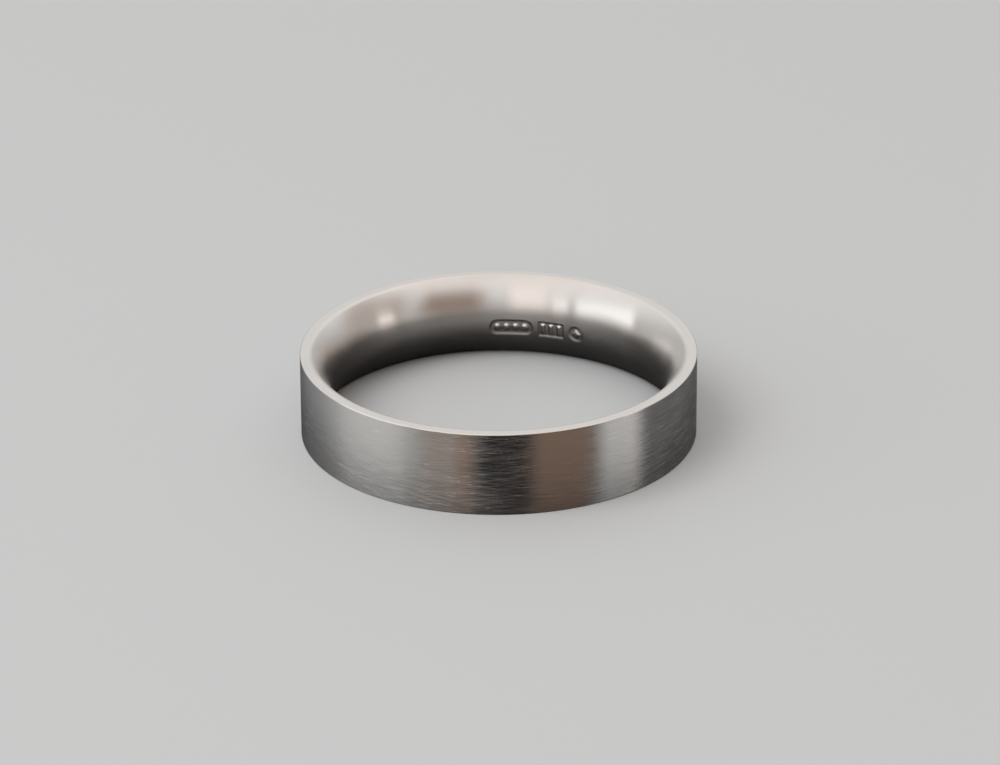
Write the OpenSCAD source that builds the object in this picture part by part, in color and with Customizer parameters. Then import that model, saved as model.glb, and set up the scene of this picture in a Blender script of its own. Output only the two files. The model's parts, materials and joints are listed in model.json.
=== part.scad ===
// A plain finger ring in the flat-court section: flat outside, domed inside.
// The hoop is a strip bent round until its ends meet, and hard solder closes the butt joint.
// Blank maker's punches are struck in the bore opposite the joint.
//
// Z runs along the finger. The origin is the middle of the bore, half way along the width,
// and the butt joint faces -Y.

/* [Hoop] */
// Finger size: diameter of the straight middle of the bore
bore_d = 19.4; // [15:0.1:24]
// Width of the band along the finger
band_w = 5; // [4:0.1:8]
// Wall at the middle of the width
wall_t = 1.8; // [1.5:0.05:2]

/* [Section] */
// Wall at the rims, where the dome would meet the flat side
rim_t = 0.65; // [0.6:0.05:1.1]
// Straight middle of the bore, between the two domed flanks
land_w = 0.6; // [0.4:0.1:1.4]
// Radius of the polished shoulder between each rim and the dome
shoulder_r = 0.4; // [0.25:0.01:0.45]
// Radius on the two outer edges
edge_r = 0.06; // [0.04:0.01:0.2]

/* [Butt joint] */
// Gap between the strip's two ends, which the solder fills
joint_gap = 0.08; // [0.04:0.01:0.2]

/* [Punch marks] */
// Height of every punch
mark_h = 0.9; // [0.6:0.05:1.1]
// Length of the maker's punch
maker_w = 2.5; // [1.8:0.1:3]
// Length of the fineness punch
fineness_w = 1.5; // [1.2:0.1:2]
// Plain metal between two punches
mark_gap = 0.4; // [0.3:0.05:0.8]
// Depth of the punches below the straight middle of the bore
mark_depth = 0.08; // [0.04:0.01:0.12]
// Distance of the row's middle past the lower edge of the bore's straight middle
mark_drop = 0.15; // [0.05:0.05:0.3]
// Turn of the row's middle round the bore, from +X towards +Y
mark_turn = 76; // [60:1:120]

/* [Hidden] */
$fn = 180;

bore_r = bore_d / 2;
outer_r = bore_r + wall_t;
half_w = band_w / 2;
half_land = land_w / 2;

// The dome is an arc tangent to the land, and rises to the rim's wall at the flat side
dome_rise = wall_t - rim_t;
dome_reach = half_w - half_land;
dome_r = (pow(dome_rise, 2) + pow(dome_reach, 2)) / (2 * dome_rise);
dome_x = bore_r + dome_r;

// The shoulder is a smaller arc inside the dome's, tangent to the dome and to the rim
shoulder_z = half_w - shoulder_r;
shoulder_x = dome_x - sqrt(pow(dome_r - shoulder_r, 2) - pow(shoulder_z - half_land, 2));
shoulder_a = atan2(shoulder_z - half_land, shoulder_x - dome_x);

// Raised pellets and bars left standing in the punches
pellet_d = 0.36;
pellets = 4;
bar_w = 0.2;
bars = 3;
lozenge_w = 0.5;
mark_rim = 0.15;

// Straight steps that each arc of the section is cut into
edge_steps = 4;
shoulder_steps = 6;
dome_steps = 13;

// Slack past a surface that a cutting solid passes through
over = 0.5;

// Points along an arc in the (radius, Z) plane, from one direction to another
function arc(x, z, r, from_a, to_a, steps, first = 0) = [
    for (i = [first:steps])
        let (a = from_a + (to_a - from_a) * i / steps)
            [x + r * cos(a), z + r * sin(a)]
];

// The section above the middle of the width: eased outer edge, flat rim, shoulder, dome.
// The shoulder ends where the dome starts, so the dome leaves out its first point.
upper_half = concat(
    arc(outer_r - edge_r, half_w - edge_r, edge_r, 0, 90, edge_steps),
    arc(shoulder_x, shoulder_z, shoulder_r, 90, shoulder_a, shoulder_steps),
    arc(dome_x, half_land, dome_r, shoulder_a, 180, dome_steps, first = 1)
);
lower_half = [for (i = [len(upper_half) - 1:-1:0]) [upper_half[i][0], -upper_half[i][1]]];

// The flat-court section in the (radius, Z) plane
module section() {
    polygon(concat(upper_half, lower_half));
}

module hoop() {
    rotate_extrude() section();
}

// The space between the strip's ends
module joint_space() {
    translate([-joint_gap / 2, -outer_r - over, -half_w - over])
        cube([joint_gap, wall_t + 2 * over, band_w + 2 * over]);
}

// A field with round ends, with a row of pellets left standing in it
module maker_mark() {
    pitch = (maker_w - mark_h) / (pellets - 1);
    difference() {
        union() {
            for (side = [-1, 1])
                translate([side * (maker_w - mark_h) / 2, 0]) circle(d = mark_h);
            square([maker_w - mark_h, mark_h], center = true);
        }
        for (i = [0:pellets - 1])
            translate([(i - (pellets - 1) / 2) * pitch, 0]) circle(d = pellet_d);
    }
}

// A square field with upright bars left standing in it
module fineness_mark() {
    pitch = fineness_w / bars;
    difference() {
        square([fineness_w, mark_h], center = true);
        for (i = [0:bars - 1])
            translate([(i - (bars - 1) / 2) * pitch, 0])
                square([bar_w, mark_h - 2 * mark_rim], center = true);
    }
}

// A round field with a lozenge left standing in it
module round_mark() {
    difference() {
        circle(d = mark_h);
        rotate(45) square(lozenge_w / sqrt(2), center = true);
    }
}

// A punch's outline carried outwards through the bore's wall, at a distance along the row
module struck(along) {
    rotate([0, 0, mark_turn - along / bore_r * 180 / PI])
        translate([bore_r - over, 0, -half_land - mark_drop])
            rotate([90, 0, 90]) linear_extrude(2 * over) mirror([1, 0]) children();
}

// The row of punches, cut to one cylinder round the bore
module marks() {
    row_w = maker_w + fineness_w + mark_h + 2 * mark_gap;
    intersection() {
        union() {
            struck(-row_w / 2 + maker_w / 2) maker_mark();
            struck(-row_w / 2 + maker_w + mark_gap + fineness_w / 2) fineness_mark();
            struck(row_w / 2 - mark_h / 2) round_mark();
        }
        cylinder(h = band_w, r = bore_r + mark_depth, center = true);
    }
}

// The strip bent into a hoop
module band() {
    color([0.78, 0.76, 0.74])
        difference() {
            hoop();
            joint_space();
            marks();
        }
}

// The hard solder that fills the butt joint, flush with the strip all round
module solder_joint() {
    color([0.74, 0.73, 0.72])
        intersection() {
            hoop();
            joint_space();
        }
}

band();
solder_joint();
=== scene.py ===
# %% [markdown]
# # A satin wedding band
#
# This lesson builds the looks of a plain finger ring: a hoop of flat-court strip, brushed on
# the outside, bright on its rims and polished in its domed bore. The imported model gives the
# sizes. Every surface is one numpy formula on a grid, so nothing is sculpted by eye.

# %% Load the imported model
import json
import math

import bpy
import numpy as np
from mathutils import Matrix, Vector


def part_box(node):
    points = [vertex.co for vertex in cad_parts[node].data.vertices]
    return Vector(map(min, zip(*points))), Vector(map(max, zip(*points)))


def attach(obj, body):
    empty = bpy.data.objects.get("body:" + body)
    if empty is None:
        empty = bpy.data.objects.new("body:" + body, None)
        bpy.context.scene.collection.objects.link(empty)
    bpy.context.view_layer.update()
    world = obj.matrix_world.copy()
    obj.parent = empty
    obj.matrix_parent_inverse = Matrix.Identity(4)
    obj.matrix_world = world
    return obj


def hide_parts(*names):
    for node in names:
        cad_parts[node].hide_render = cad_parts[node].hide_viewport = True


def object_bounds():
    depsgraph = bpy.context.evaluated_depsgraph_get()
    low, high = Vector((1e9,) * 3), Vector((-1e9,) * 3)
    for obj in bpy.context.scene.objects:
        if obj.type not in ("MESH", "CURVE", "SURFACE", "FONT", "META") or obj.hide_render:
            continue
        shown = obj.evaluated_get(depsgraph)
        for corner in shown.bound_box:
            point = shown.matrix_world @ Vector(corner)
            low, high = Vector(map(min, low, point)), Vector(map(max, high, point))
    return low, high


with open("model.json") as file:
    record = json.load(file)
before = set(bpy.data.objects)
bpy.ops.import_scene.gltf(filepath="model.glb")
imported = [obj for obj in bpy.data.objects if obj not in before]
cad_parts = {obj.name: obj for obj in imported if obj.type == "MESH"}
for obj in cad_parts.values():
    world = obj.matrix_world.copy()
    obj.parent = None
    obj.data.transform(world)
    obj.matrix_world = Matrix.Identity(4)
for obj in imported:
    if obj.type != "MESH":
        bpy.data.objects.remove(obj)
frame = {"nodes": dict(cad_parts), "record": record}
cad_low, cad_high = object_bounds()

mm = 0.001
print("nodes to dress:", sorted(frame["nodes"]))

# %% [markdown]
# ## Sizes
#
# The overall sizes come from the model's box and from its bore mount. The section's small
# radii belong to the strip's drawing, so they are named here once, in millimetres.

# %% Read the ring's sizes
outer_r = cad_high[0]
half_w = cad_high[2]
bore = next(m for m in frame["record"]["mounts"] if m["name"] == "finger_bore")
bore_r = bore["dims"]["r_mm"] * mm
half_land = bore["dims"]["length_mm"] * mm / 2
joint_low, joint_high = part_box("solder_joint")
half_gap = joint_high[0]

rim_wall = 0.65 * mm
shoulder_r = 0.4 * mm
edge_r = 0.06 * mm
print("outside", round(2 * outer_r / mm, 2), "mm, bore", round(2 * bore_r / mm, 2), "mm")

# %% [markdown]
# ## The flat-court section
#
# A goldsmith buys this strip ready drawn: flat on the outside, domed on the inside. It could
# be a bevelled curve, but a bevel can't hold a different radius at every corner. So the
# section is one closed outline in the (radius, height) plane. Straight stretches get their
# points crowded towards both ends, so that smooth shading turns the corner in a thin line
# and leaves the flats flat. Arcs are spaced evenly.
#
# Polishing wears the narrow straight land of a new bore into the domes on both sides of it.
# The inside is therefore drawn as one arc from shoulder to shoulder, which touches the
# finger at the size of the bore.

# %% Outline helpers
def straight(start, end, steps):
    """Points on a line, spaced by a half cosine wave so that they crowd at both ends."""
    t = (1 - np.cos(np.pi * np.linspace(0, 1, steps + 1))) / 2
    return np.array(start) + t[:, None] * (np.array(end) - np.array(start))


def arc(centre, radius, from_deg, to_deg, steps):
    """Points at even angles on a circle: the centre plus the radius times (cosine, sine)."""
    a = np.radians(np.linspace(from_deg, to_deg, steps + 1))
    return np.array(centre) + radius * np.stack([np.cos(a), np.sin(a)], axis=1)


# %% Arc centres of the dome and the shoulder
# Radius of an arc from its rise and its reach: (rise squared + reach squared) / (2 rise)
dome_rise = (outer_r - bore_r) - rim_wall
dome_r = (dome_rise**2 + half_w**2) / (2 * dome_rise)
dome_at = (bore_r + dome_r, 0.0)

# The shoulder's arc lies inside the dome's and touches it, so their centres are as far apart
# as their radii differ
shoulder_z = half_w - shoulder_r
shoulder_x = dome_at[0] - math.sqrt((dome_r - shoulder_r) ** 2 - shoulder_z**2)
shoulder_deg = math.degrees(math.atan2(shoulder_z, shoulder_x - dome_at[0]))
print("dome radius", round(dome_r / mm, 3), "mm")
print("shoulder ends at", round(shoulder_deg, 1), "degrees")

# %% The outline, finish by finish
OUTSIDE, RIM, BORE = 0, 1, 2
marks_deg = 167  # the dome has more points from here to its middle, where the punches reach


def upper_half():
    """Outline and finishes from the outer edge over the rim and down to the dome's middle."""
    edge_at = (outer_r - edge_r, half_w - edge_r)
    stretches = [
        (RIM, arc(edge_at, edge_r, 0, 90, 8)),
        (RIM, straight((edge_at[0], half_w), (shoulder_x, half_w), 8)),
        (BORE, arc((shoulder_x, shoulder_z), shoulder_r, 90, shoulder_deg, 12)),
        (BORE, arc(dome_at, dome_r, shoulder_deg, marks_deg, 24)),
        (BORE, arc(dome_at, dome_r, marks_deg, 180, 34)),
    ]
    points = np.concatenate([p[:-1] for _, p in stretches])
    zones = np.concatenate([np.full(len(p) - 1, z) for z, p in stretches])
    return points, zones


def outline():
    """The closed section, anticlockwise from the lower outer edge, with a finish per side.

    The lower half is the upper half mirrored in height and walked backwards."""
    points, zones = upper_half()
    side = straight((outer_r, -half_w + edge_r), (outer_r, half_w - edge_r), 24)
    mirrored = (points * [1, -1])[::-1]
    loop = np.concatenate([side[:-1], points, [(bore_r, 0.0)], mirrored[:-1]])
    kinds = np.concatenate([np.full(len(side) - 1, OUTSIDE), zones, [BORE], zones[::-1][1:]])
    return loop, kinds


section, section_zone = outline()
print("section outline:", len(section), "points")

# %% [markdown]
# ## Punch marks
#
# A maker strikes small steel punches inside the finished hoop, opposite the joint. Here they
# are blank: a field with pellets, a field with bars and a field with a lozenge. Each punch is
# a signed distance, negative inside its outline, worked out for every point of the bore at
# once. A smooth step turns distance into depth, and the metal that a punch pushes aside
# stands up as a low lip round it.

# %% Distances to plain outlines
def round_box(x, z, half_x, half_z, radius):
    """Distance to a box with round corners: length past the shrunken box, less the radius."""
    qx = np.abs(x) - half_x + radius
    qz = np.abs(z) - half_z + radius
    outside = np.hypot(np.maximum(qx, 0), np.maximum(qz, 0))
    return outside + np.minimum(np.maximum(qx, qz), 0) - radius


def disc(x, z, radius):
    """Distance to a disc: distance from its middle, less the radius."""
    return np.hypot(x, z) - radius


def lozenge(x, z, half):
    """Distance to a square stood on its corner: sum of the two offsets against its half."""
    return (np.abs(x) + np.abs(z) - half) / math.sqrt(2)


# %% The row of punches
mark_h = 0.9 * mm
maker_w = 2.5 * mm
fineness_w = 1.5 * mm
mark_space = 0.4 * mm
mark_depth = 0.08 * mm
mark_drop = 0.15 * mm
mark_z = -half_land - mark_drop
mark_turn = math.radians(76)
row_w = maker_w + fineness_w + mark_h + 2 * mark_space

# What the punches leave standing: pellets, upright bars and a lozenge
pellets = 4
pellet_r = 0.18 * mm
bars = 3
bar_half = (0.1 * mm, 0.3 * mm)
lozenge_half = 0.25 * mm
corner_r = 0.03 * mm
print("row of punches:", round(row_w / mm, 2), "mm long")


# %% Distances to the three marks
def evenly(count):
    """Whole steps apart and centred on nought: each number in turn, less half the last one."""
    return [i - (count - 1) / 2 for i in range(count)]


def maker_field(x, z):
    """A field with round ends, less a row of pellets from one end's centre to the other's."""
    field = round_box(x, z, maker_w / 2, mark_h / 2, mark_h / 2)
    pitch = (maker_w - mark_h) / (pellets - 1)
    for step in evenly(pellets):
        field = np.maximum(field, -disc(x - step * pitch, z, pellet_r))
    return field


def fineness_field(x, z):
    """A box, less upright bars that share its length evenly."""
    field = round_box(x, z, fineness_w / 2, mark_h / 2, corner_r)
    pitch = fineness_w / bars
    for step in evenly(bars):
        field = np.maximum(field, -round_box(x - step * pitch, z, *bar_half, corner_r))
    return field


def round_field(x, z):
    """A disc, less a lozenge at its middle."""
    return np.maximum(disc(x, z, mark_h / 2), -lozenge(x, z, lozenge_half))


def punch_distance(along, height):
    """Distance to the nearest of the three marks, which follow one another along the row."""
    x = along + row_w / 2
    maker = maker_field(x - maker_w / 2, height)
    fineness = fineness_field(x - maker_w - mark_space - fineness_w / 2, height)
    last = round_field(x - row_w + mark_h / 2, height)
    return np.minimum(np.minimum(maker, fineness), last)


# %% Depth of the punches
edge_w = 0.1 * mm  # half the width of the slope at a punch's outline
lip_h = 0.003 * mm
lip_at = 0.1 * mm
lip_w = 0.05 * mm


def punch_depth(angle, height):
    """How far the bore's surface is driven outwards: a smooth step down the slope, less a low
    lip shaped as a bell curve just outside the outline.

    The smooth step of t is t squared times (3 less 2 t)."""
    along = (mark_turn - angle) * bore_r
    d = punch_distance(along, height - mark_z)
    t = np.clip(0.5 - d / (2 * edge_w), 0, 1)
    lip = lip_h * np.exp(-(((d - lip_at) / lip_w) ** 2))
    return mark_depth * t * t * (3 - 2 * t) - lip


print("punches", round(mark_depth / mm, 2), "mm deep")

# %% [markdown]
# ## Carrying the section round
#
# The strip is the section carried round the finger axis, from one side of the joint to the
# other. Its two ends are cut parallel, so at each radius they start at the angle whose sine
# is half the gap over that radius. Columns are closer together under the punches.

# %% Angles round the hoop
joint_turn = -math.pi / 2
marks_reach = 0.33  # radians on each side of the row's middle


def turn_shares():
    """Shares of the turn, 0 to 1 from the joint: three even runs, the middle one finer."""
    before = (mark_turn - marks_reach - joint_turn) / (2 * math.pi)
    after = (mark_turn + marks_reach - joint_turn) / (2 * math.pi)
    # share from, share to, columns
    runs = [(0, before, 120), (before, after, 190), (after, 1, 131)]
    return np.concatenate([np.linspace(a, b, n, endpoint=b == 1) for a, b, n in runs])


def hoop_points(shares):
    """Grid (column, outline point, xyz): radius times (cosine, sine) of the angle, and height.

    The punch depth is added to the radius where the outline is on the bore."""
    radius, height = section[:, 0], section[:, 1]
    start = np.arcsin(half_gap / radius)
    angle = joint_turn + start + (2 * np.pi - 2 * start) * shares[:, None]
    r = radius + np.where(section_zone == BORE, punch_depth(angle, height), 0)
    return np.stack([r * np.cos(angle), r * np.sin(angle), height + 0 * angle], axis=2)


print("joint at", round(math.degrees(joint_turn)), "degrees")


# %% A mesh from a grid, with its two ends capped
def cap_edges(mesh, columns, sides):
    """True for each edge that lies round an end cap: both its points in one end column."""
    ends = np.empty(len(mesh.edges) * 2, np.int32)
    mesh.edges.foreach_get("vertices", ends)
    column = ends.reshape(-1, 2) // sides
    return (column[:, 0] == column[:, 1]) & np.isin(column[:, 0], [0, columns - 1])


def grid_mesh(name, grid):
    """Quads between neighbouring columns and outline points, and one flat cap at each end.

    The outline closes on itself. It runs anticlockwise, so the quads face outwards."""
    columns, sides, _ = grid.shape
    column = np.arange(columns - 1)[:, None] * sides
    here = np.arange(sides)[None, :]
    after = (here + 1) % sides
    corners = [column + here, column + sides + here, column + sides + after, column + after]
    quads = np.stack(corners, axis=2).reshape(-1, 4)
    caps = [list(range(sides)), list(range(columns * sides - 1, (columns - 1) * sides - 1, -1))]

    mesh = bpy.data.meshes.new(name)
    mesh.from_pydata(grid.reshape(-1, 3).tolist(), [], quads.tolist() + caps, shade_flat=False)
    finish = np.concatenate([np.tile(section_zone, columns - 1), [BORE, BORE]])
    mesh.polygons.foreach_set("material_index", finish.astype(np.int32))
    mesh.update()
    sharp = mesh.attributes.new("sharp_edge", "BOOLEAN", "EDGE")
    sharp.data.foreach_set("value", cap_edges(mesh, columns, sides))

    piece = bpy.data.objects.new(name, mesh)
    bpy.context.scene.collection.objects.link(piece)
    print(name, "has", len(mesh.polygons), "faces")
    return piece


# %% The bent strip
strip = grid_mesh("bent_strip", hoop_points(turn_shares()))

# %% [markdown]
# ## The solder in the joint
#
# Hard solder fills the butt joint as a wafer a few hundredths of a millimetre thick. It is
# filed flush, so it carries the same section. A seam painted on the strip would look the
# same from outside, but the real joint is a piece of its own metal, so it is one here too.

# %% The solder wafer
def wafer_points(steps):
    """Grid (column, outline point, xyz) between the joint's two parallel walls.

    Its distance from the axis is the outline's radius, so y is minus the square root of the
    radius squared less x squared."""
    x = np.linspace(-half_gap, half_gap, steps + 1)[:, None] + 0 * section[:, 0]
    y = -np.sqrt(section[:, 0] ** 2 - x**2)
    return np.stack([x, y, section[:, 1] + 0 * x], axis=2)


wafer = grid_mesh("solder_wafer", wafer_points(4))

# %% [markdown]
# ## Finishes
#
# One alloy, three finishes. The helpers below add a node, set its plain values and link the
# rest, so that each finish reads as a short list of what the maker did to the metal.

# %% Node helpers
def add(tree, kind, settings=None, **inputs):
    """A node of one kind. Settings are its own properties. Inputs are values or sockets,
    by name, or by number after an underscore."""
    node = tree.nodes.new(kind)
    for key, value in (settings or {}).items():
        setattr(node, key, value)
    for key, value in inputs.items():
        socket = node.inputs[int(key[1:])] if key[0] == "_" else node.inputs[key.replace("_", " ")]
        if isinstance(value, bpy.types.NodeSocket):
            tree.links.new(value, socket)
        else:
            socket.default_value = value
    return node


def sum_of(tree, a, b):
    """a plus b, each a value or a socket."""
    return add(tree, "ShaderNodeMath", {"operation": "ADD"}, _0=a, _1=b).outputs[0]


def product(tree, a, b):
    """a times b, each a value or a socket."""
    return add(tree, "ShaderNodeMath", {"operation": "MULTIPLY"}, _0=a, _1=b).outputs[0]


def smooth_step(tree, value, start, end, low=0.0, high=1.0):
    """From low to high in an S curve while the value goes from start to end."""
    node = add(
        tree, "ShaderNodeMapRange", {"interpolation_type": "SMOOTHSTEP"},
        Value=value, From_Min=start, From_Max=end, To_Min=low, To_Max=high,
    )
    return node.outputs[0]


def blend(tree, factor, first, second):
    """The first colour times what is left of the factor, plus the second times the factor."""
    node = add(tree, "ShaderNodeMix", {"data_type": "RGBA"}, _0=factor, _6=first, _7=second)
    return node.outputs[2]


def dimmed(colour, share):
    """Red, green and blue, each times a share below 1."""
    return tuple(c * share for c in colour[:3]) + (1.0,)


def new_material(name):
    """A material with its Principled shader, ready for a finish."""
    material = bpy.data.materials.new(name)
    material.use_nodes = True
    return material, material.node_tree, material.node_tree.nodes["Principled BSDF"]


# %% [markdown]
# ## Strokes that run round the hoop
#
# An abrasive leaves fine grooves along its travel, which is round the hoop. Across them the
# metal scatters light widely, along them hardly at all. Grooves this fine can't all be
# modelled, so the shader does the scattering: its anisotropy is turned so that reflections
# spread up and down the band. The grooves that an eye can pick out are stretched noise.

# %% Stroke noise
def strokes(tree, place, along, across, lean, seed):
    """Noise stretched round the hoop: `across` is a stroke's height and `along` its length.

    The height that it reads is z plus the lean times x and y, which tilts the strokes."""
    x, y, z = add(tree, "ShaderNodeSeparateXYZ", _0=place).outputs
    leaning = sum_of(tree, product(tree, x, lean[0]), product(tree, y, lean[1]))
    tall = product(tree, sum_of(tree, z, leaning), 1 / across)
    stretched = add(
        tree, "ShaderNodeCombineXYZ",
        _0=product(tree, x, 1 / along),
        _1=product(tree, y, 1 / along),
        _2=sum_of(tree, tall, seed),
    )
    noise = add(
        tree, "ShaderNodeTexNoise",
        Vector=stretched.outputs[0], Scale=1.0, Detail=2.0, Roughness=0.6,
    )
    return noise.outputs[0]


def grooved_metal(tree, metal, colour, roughness, height, depth):
    """Bare metal whose grooves run round the hoop: colour, roughness and groove height."""
    tangent = add(tree, "ShaderNodeTangent", {"direction_type": "RADIAL", "axis": "Z"})
    bump = add(tree, "ShaderNodeBump", Strength=1.0, Distance=depth, Height=height)
    tree.links.new(colour, metal.inputs["Base Color"])
    tree.links.new(roughness, metal.inputs["Roughness"])
    tree.links.new(tangent.outputs[0], metal.inputs["Tangent"])
    tree.links.new(bump.outputs[0], metal.inputs["Normal"])
    metal.inputs["Metallic"].default_value = 1.0
    metal.inputs["Anisotropic"].default_value = 1.0
    metal.inputs["Anisotropic Rotation"].default_value = 0.25


# Each kind of stroke: length along the hoop, height across it, lean and seed
FINE = (4.0 * mm, 0.035 * mm, (0.0, 0.0), 3.0)
RISING = (2.0 * mm, 0.04 * mm, (0.12, -0.07), 11.0)
FALLING = (1.5 * mm, 0.045 * mm, (-0.10, 0.11), 23.0)
HAIRLINE = (2.5 * mm, 0.02 * mm, (0.1, 0.06), 41.0)
print("strokes run round the Z axis")

# %% [markdown]
# ## Satin outside
#
# A pad is drawn round the turning ring, first square to the rims and then at a slight slant
# both ways, so long fine lines carry shorter crossing cuts. Each cut is a groove, a little
# rougher and a little duller than the metal beside it.

# %% Satin finish
groove_depth = 0.0014 * mm
patch_size = 3 * mm
cut_span = (0.42, 0.68)  # noise at which a crossing cut starts, and at which it is deepest
cut_height = 0.7  # against the fine lines
satin_roughness = 0.07
patch_share, fine_share, cut_share = 0.06, 0.10, 0.06
dull = 0.9


def satin(name, colour):
    """Roughness is its least value, plus a share each of patches, fine lines and cuts.

    A cut is where slanted strokes pass a threshold. Groove height is the fine lines plus
    most of the cuts."""
    material, tree, metal = new_material(name)
    place = add(tree, "ShaderNodeTexCoord").outputs["Object"]
    fine = strokes(tree, place, *FINE)
    rising = strokes(tree, place, *RISING)
    falling = strokes(tree, place, *FALLING)
    cuts = sum_of(
        tree, smooth_step(tree, rising, *cut_span), smooth_step(tree, falling, *cut_span)
    )
    height = sum_of(tree, fine, product(tree, cuts, cut_height))
    patch = add(tree, "ShaderNodeTexNoise", Vector=place, Scale=1 / patch_size, Detail=3.0)
    roughness = sum_of(tree, product(tree, patch.outputs[0], patch_share), satin_roughness)
    roughness = sum_of(tree, roughness, product(tree, fine, fine_share))
    roughness = sum_of(tree, roughness, product(tree, cuts, cut_share))
    worn = blend(tree, rising, colour, dimmed(colour, dull))
    grooved_metal(tree, metal, worn, roughness, height, groove_depth)
    return material


print("satin grooves at most", round(groove_depth / mm, 4), "mm deep")


# %% [markdown]
# ## Polished rims and bore
#
# Rims and bore are buffed until their lines close up, and wear keeps them so. What is left
# is a cloudy sheen with faint hairlines, made with the same strokes at a fraction of the
# depth.

# %% Polished finish
cloud_size = 1.5 * mm
cloud_share = 0.04
scuff_span = (0.4, 0.65)  # noise at which a scuff starts, and at which it is roughest
clouded = 0.95


def polished(name, colour, smooth, scuffed, hairline_depth):
    """Roughness goes from smooth to scuffed where the hairlines rise, plus a share of cloud."""
    material, tree, metal = new_material(name)
    place = add(tree, "ShaderNodeTexCoord").outputs["Object"]
    lines = strokes(tree, place, *HAIRLINE)
    cloud = add(tree, "ShaderNodeTexNoise", Vector=place, Scale=1 / cloud_size, Detail=3.0)
    scuffs = smooth_step(tree, lines, *scuff_span, smooth, scuffed)
    rough = sum_of(tree, product(tree, cloud.outputs[0], cloud_share), scuffs)
    worn = blend(tree, cloud.outputs[0], colour, dimmed(colour, clouded))
    grooved_metal(tree, metal, worn, rough, lines, hairline_depth)
    return material


# Roughness where smooth and where scuffed, and the depth of the hairlines
RIM_POLISH = (0.14, 0.18, 0.00005 * mm)
BORE_POLISH = (0.18, 0.21, 0.00002 * mm)
print("roughness of the rims", RIM_POLISH[:2], "and of the bore", BORE_POLISH[:2])

# %% [markdown]
# ## Dressing the pieces
#
# The strip and its solder were filed, brushed and buffed as one, so both get the same three
# finishes in the order that the mesh counts them: outside, rim, bore. Solder melts lower
# because it holds less of the precious metal, which leaves it a shade warmer and darker.
# One painted image could carry all three finishes, but separate materials keep each edge
# between them as sharp as the mesh.

# %% Dress the pieces
ALLOY = (0.795, 0.775, 0.75, 1.0)
SOLDER = (0.775, 0.75, 0.715, 1.0)

for piece, slot_name, node_name, colour in (
    (strip, "band_metal", "band", ALLOY),
    (wafer, "solder_metal", "solder_joint", SOLDER),
):
    piece.data.materials.append(satin(f"{piece.name}_satin", colour))
    piece.data.materials.append(polished(f"{piece.name}_rim", colour, *RIM_POLISH))
    piece.data.materials.append(polished(f"{piece.name}_bore", colour, *BORE_POLISH))
    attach(piece, "root")
    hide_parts(node_name)
print("dressed", strip.name, "and", wafer.name)

# %% [markdown]
# ## Floor
#
# The ring lies on a pale, matt table top. Polished metal would mirror so much of it that
# every tone would turn pale, and a jeweller keeps the table dark where the metal looks. A
# dark plane hidden below would be one way. Here the material asks what kind of ray arrives:
# the camera sees a pale surface, and a mirror ray finds a painted dark floor, a painted ring
# of contact shadow round the metal and, further out, the cards of the room below.

# %% Floor
floor_half = 1.5  # metres
floor_mesh = bpy.data.meshes.new("floor")
corners = [(-1, -1), (1, -1), (1, 1), (-1, 1)]
places = [(x * floor_half, y * floor_half, -half_w) for x, y in corners]
floor_mesh.from_pydata(places, [], [(0, 1, 2, 3)])
floor = bpy.data.objects.new("floor", floor_mesh)
bpy.context.scene.collection.objects.link(floor)
print("floor at", round(-half_w / mm, 2), "mm")


# %% Floor material
TABLE = (0.48, 0.50, 0.51, 1.0)
# Painted for mirror rays only: a dark grey under the middle of the bore, and a painted shadow
# darker still close to the metal
painted_open_grey, painted_shadow_grey = 0.22, 0.02  # under the middle of the bore, and close to the metal
painted_shadow_start = 0.2 * bore_r
painted_contact_shadow = 0.62  # share of the painted shadow that is left just outside the hoop
painted_shadow_end = 1.7 * outer_r


def table_top():
    """Pale to the camera. To a mirror ray, a painted shadow: dark inside the hoop and fading out
    beyond it.

    The distance from the axis is the square root of x squared plus y squared."""
    material, tree, pale = new_material("pale_table_painted_shadow")
    pale.inputs["Base Color"].default_value = TABLE
    pale.inputs["Roughness"].default_value = 0.8
    place = add(tree, "ShaderNodeTexCoord").outputs["Object"]
    x, y, _ = add(tree, "ShaderNodeSeparateXYZ", _0=place).outputs
    squares = sum_of(tree, product(tree, x, x), product(tree, y, y))
    reach = add(tree, "ShaderNodeMath", {"operation": "SQRT"}, _0=squares).outputs[0]

    # Painted shadow seen by mirror rays: darker towards the metal, opaque inside the hoop and
    # fading out beyond it
    grey = smooth_step(tree, reach, painted_shadow_start, bore_r, painted_open_grey, painted_shadow_grey)
    shadow = add(tree, "ShaderNodeBsdfDiffuse", Color=grey).outputs[0]
    clear = add(tree, "ShaderNodeBsdfTransparent").outputs[0]
    inside = add(tree, "ShaderNodeMath", {"operation": "LESS_THAN"}, _0=reach, _1=outer_r)
    beyond = smooth_step(tree, reach, outer_r, painted_shadow_end, painted_contact_shadow, 0.0)
    dark = add(tree, "ShaderNodeMath", {"operation": "MAXIMUM"}, _0=inside.outputs[0], _1=beyond)
    mirrored = add(tree, "ShaderNodeMixShader", _0=dark.outputs[0], _1=clear, _2=shadow)

    by_mirror = add(tree, "ShaderNodeLightPath").outputs["Is Glossy Ray"]
    both = add(
        tree, "ShaderNodeMixShader",
        _0=by_mirror, _1=pale.outputs[0], _2=mirrored.outputs[0],
    )
    tree.links.new(both.outputs[0], tree.nodes["Material Output"].inputs["Surface"])
    return material


floor_mesh.materials.append(table_top())
print("table shaded out to", round(painted_shadow_end / mm, 1), "mm from the ring's axis")

# %% [markdown]
# ## Room
#
# Metal shows the room more than itself. A jeweller lights a ring with soft cards held all
# round it: white for a bright band, warm for a tan one, black for the dark between. Area
# lamps could be the cards, but dozens of lamps are slow and show hard edges, so the cards
# are painted on the world by direction. Turn is the angle round the ring, 0 towards the
# viewer and positive to the right. Tilt is the angle above the horizon.

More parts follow.
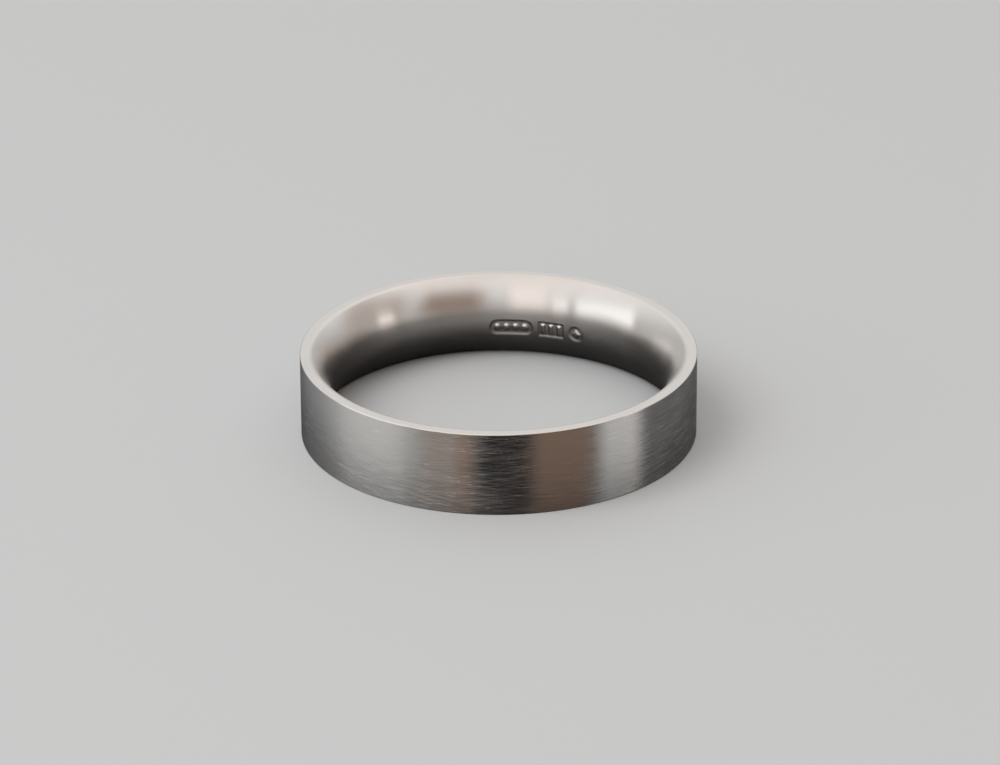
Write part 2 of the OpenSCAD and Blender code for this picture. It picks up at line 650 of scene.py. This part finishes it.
# %% The cards, each laid over the ones before it
# name: (turn from, to), (tilt from, to), softness of the edges in degrees, brightness, warmth
CARDS = {
    "table behind": ((-152, -100), (-120, 0), 40, 0.20, -0.1),
    "table by the window": ((-112, -50), (-120, 0), 48, 0.43, 0.0),
    "warm card at the left": ((-46, -22), (-120, 0), 12, 0.17, 0.4),
    "brown edge of the card": ((-25, -15), (-120, 0), 6, 0.10, 1.2),
    "tan card": ((20, 56), (-120, 0), 10, 0.095, 1.1),
    "white card at the right": ((61, 89), (-120, 0), 10, 0.42, 0.0),
    "black card in front": ((-14, 19), (-120, 0), 12, 0.0, 0.3),
    "left window pane": ((-99, -53), (-4, 26), 6, 1.1, 0.0),
    "right window pane": ((-47, -36), (-4, 26), 4, 1.0, 0.1),
    "curtain": ((-34, -8), (-2, 46), 12, 0.80, 0.2),
    "dark side of the room": ((10, 54), (-6, 40), 20, 0.14, 1.1),
    "wall at the right": ((64, 120), (8, 44), 24, 0.32, 0.4),
    "lamp at the right": ((73, 85), (-4, 12), 8, 1.5, 0.2),
}

# The plain room behind the cards, from low to high: tilt, brightness, warmth
BACKDROP = [
    (-25, 0.07, 0.0),
    (4, 0.40, 0.05),
    (34, 0.67, 0.05),
    (56, 0.72, 0.15),
    (80, 0.65, 0.2),
]
metal_share = 0.76  # of the light that reaches it, what the metal gives back
redder, bluer = 0.42, -0.22  # what a warmth of 1 adds to red and to blue


def tinted(brightness, warmth):
    """A card's colour: the brightness that the metal shows over the share that it gives back,
    with red and blue each times 1 plus their part of the warmth."""
    card = brightness / metal_share
    return (card * (1 + redder * warmth), card, card * (1 + bluer * warmth), 1.0)


print(len(CARDS), "cards")


# %% Directions and masks
def turn_and_tilt(tree):
    """Degrees round from the viewer's side, arctangent of x over -y, and arcsine of z."""
    way = add(tree, "ShaderNodeTexCoord").outputs["Generated"]
    x, y, z = add(tree, "ShaderNodeSeparateXYZ", _0=way).outputs
    turn = add(tree, "ShaderNodeMath", {"operation": "ARCTAN2"}, _0=x, _1=product(tree, y, -1.0))
    tilt = add(tree, "ShaderNodeMath", {"operation": "ARCSINE"}, _0=z)
    return [product(tree, angle.outputs[0], math.degrees(1)) for angle in (turn, tilt)]


def card_mask(tree, angles, spans, softness):
    """1 on a card and 0 off it: a smooth step up and one down for each of the two angles."""
    mask = 1.0
    for angle, (start, end) in zip(angles, spans):
        rise = smooth_step(tree, angle, start - softness / 2, start + softness / 2)
        fall = smooth_step(tree, angle, end - softness / 2, end + softness / 2, 1.0, 0.0)
        mask = product(tree, mask, product(tree, rise, fall))
    return mask


# %% The world
PLAIN = (0.57, 0.55, 0.53, 1.0)


def backdrop(tree, tilt):
    """A colour for each tilt, blended upwards from one stop to the next."""
    colour = tinted(*BACKDROP[0][1:])
    for (below, _, _), (above, *light) in zip(BACKDROP[:-1], BACKDROP[1:]):
        colour = blend(tree, smooth_step(tree, tilt, below, above), colour, tinted(*light))
    return colour


def paint_room(world):
    """Cards over the backdrop for the metal and the table, and a plain tone for the camera."""
    tree = world.node_tree
    turn, tilt = turn_and_tilt(tree)
    room = backdrop(tree, tilt)
    for turns, tilts, softness, *light in CARDS.values():
        mask = card_mask(tree, (turn, tilt), (turns, tilts), softness)
        room = blend(tree, mask, room, tinted(*light))
    by_camera = add(tree, "ShaderNodeLightPath").outputs["Is Camera Ray"]
    shown = blend(tree, by_camera, room, PLAIN)
    tree.links.new(shown, tree.nodes["Background"].inputs["Color"])


world = bpy.data.worlds.new("room")
world.use_nodes = True
bpy.context.scene.world = world
paint_room(world)
print("room painted")

# %% [markdown]
# ## Key lamp
#
# One soft lamp gives the table its shadow. A sun would do it too, but with a hard edge. The
# lamp is left out of reflections, because the room's cards already stand for what the metal
# sees.

# %% Key lamp
key_turn, key_tilt = math.radians(-60), math.radians(55)
key_distance = 0.6
key = bpy.data.lights.new("key", "AREA")
key.shape = "SQUARE"
key.size = 0.4
key.energy = 1.5
key_way = Vector((
    math.sin(key_turn) * math.cos(key_tilt),
    -math.cos(key_turn) * math.cos(key_tilt),
    math.sin(key_tilt),
))
key_holder = bpy.data.objects.new("key", key)
key_holder.location = key_way * key_distance
key_holder.rotation_euler = key_way.to_track_quat("Z", "Y").to_euler()
key_holder.visible_glossy = False
bpy.context.scene.collection.objects.link(key_holder)
print("key lamp", round(key_distance / mm), "mm away")

# %% [markdown]
# ## Camera
#
# A long lens from a little above: the ring fills two fifths of the frame and hardly tapers
# with distance. A Track To constraint could aim the camera, but it keeps the horizon level.
# So the camera is placed by its three axes, which are cross products, and its small roll is
# added last.

# %% Camera
lens_mm = 196.2
sensor_mm = 36.0
camera_tilt = math.radians(24.9)
camera_distance = 27.52 * outer_r
camera_roll = math.radians(-0.334)
aim_up = 0.376 * mm
aim_right = 0.078 * mm

across = Vector((1, 0, 0))
towards = Vector((0, -math.cos(camera_tilt), math.sin(camera_tilt)))
upward = towards.cross(across)
stand = towards * camera_distance
aim = across * aim_right + upward * aim_up
look = (stand - aim).normalized()
side = Vector((0, 0, 1)).cross(look).normalized()
turned = Matrix((side, look.cross(side), look)).transposed() @ Matrix.Rotation(camera_roll, 3, "Z")

lens = bpy.data.cameras.new("camera")
lens.lens = lens_mm
lens.sensor_width = sensor_mm
lens.clip_start = 0.01
camera = bpy.data.objects.new("camera", lens)
camera.matrix_world = Matrix.Translation(stand) @ turned.to_4x4()
bpy.context.scene.collection.objects.link(camera)
bpy.context.scene.camera = camera
bpy.context.scene.view_settings.view_transform = "Standard"
print("camera", round(camera_distance / mm), "mm away")

# %% [markdown]
# ## Finish
#

# %% Finish
print("done")
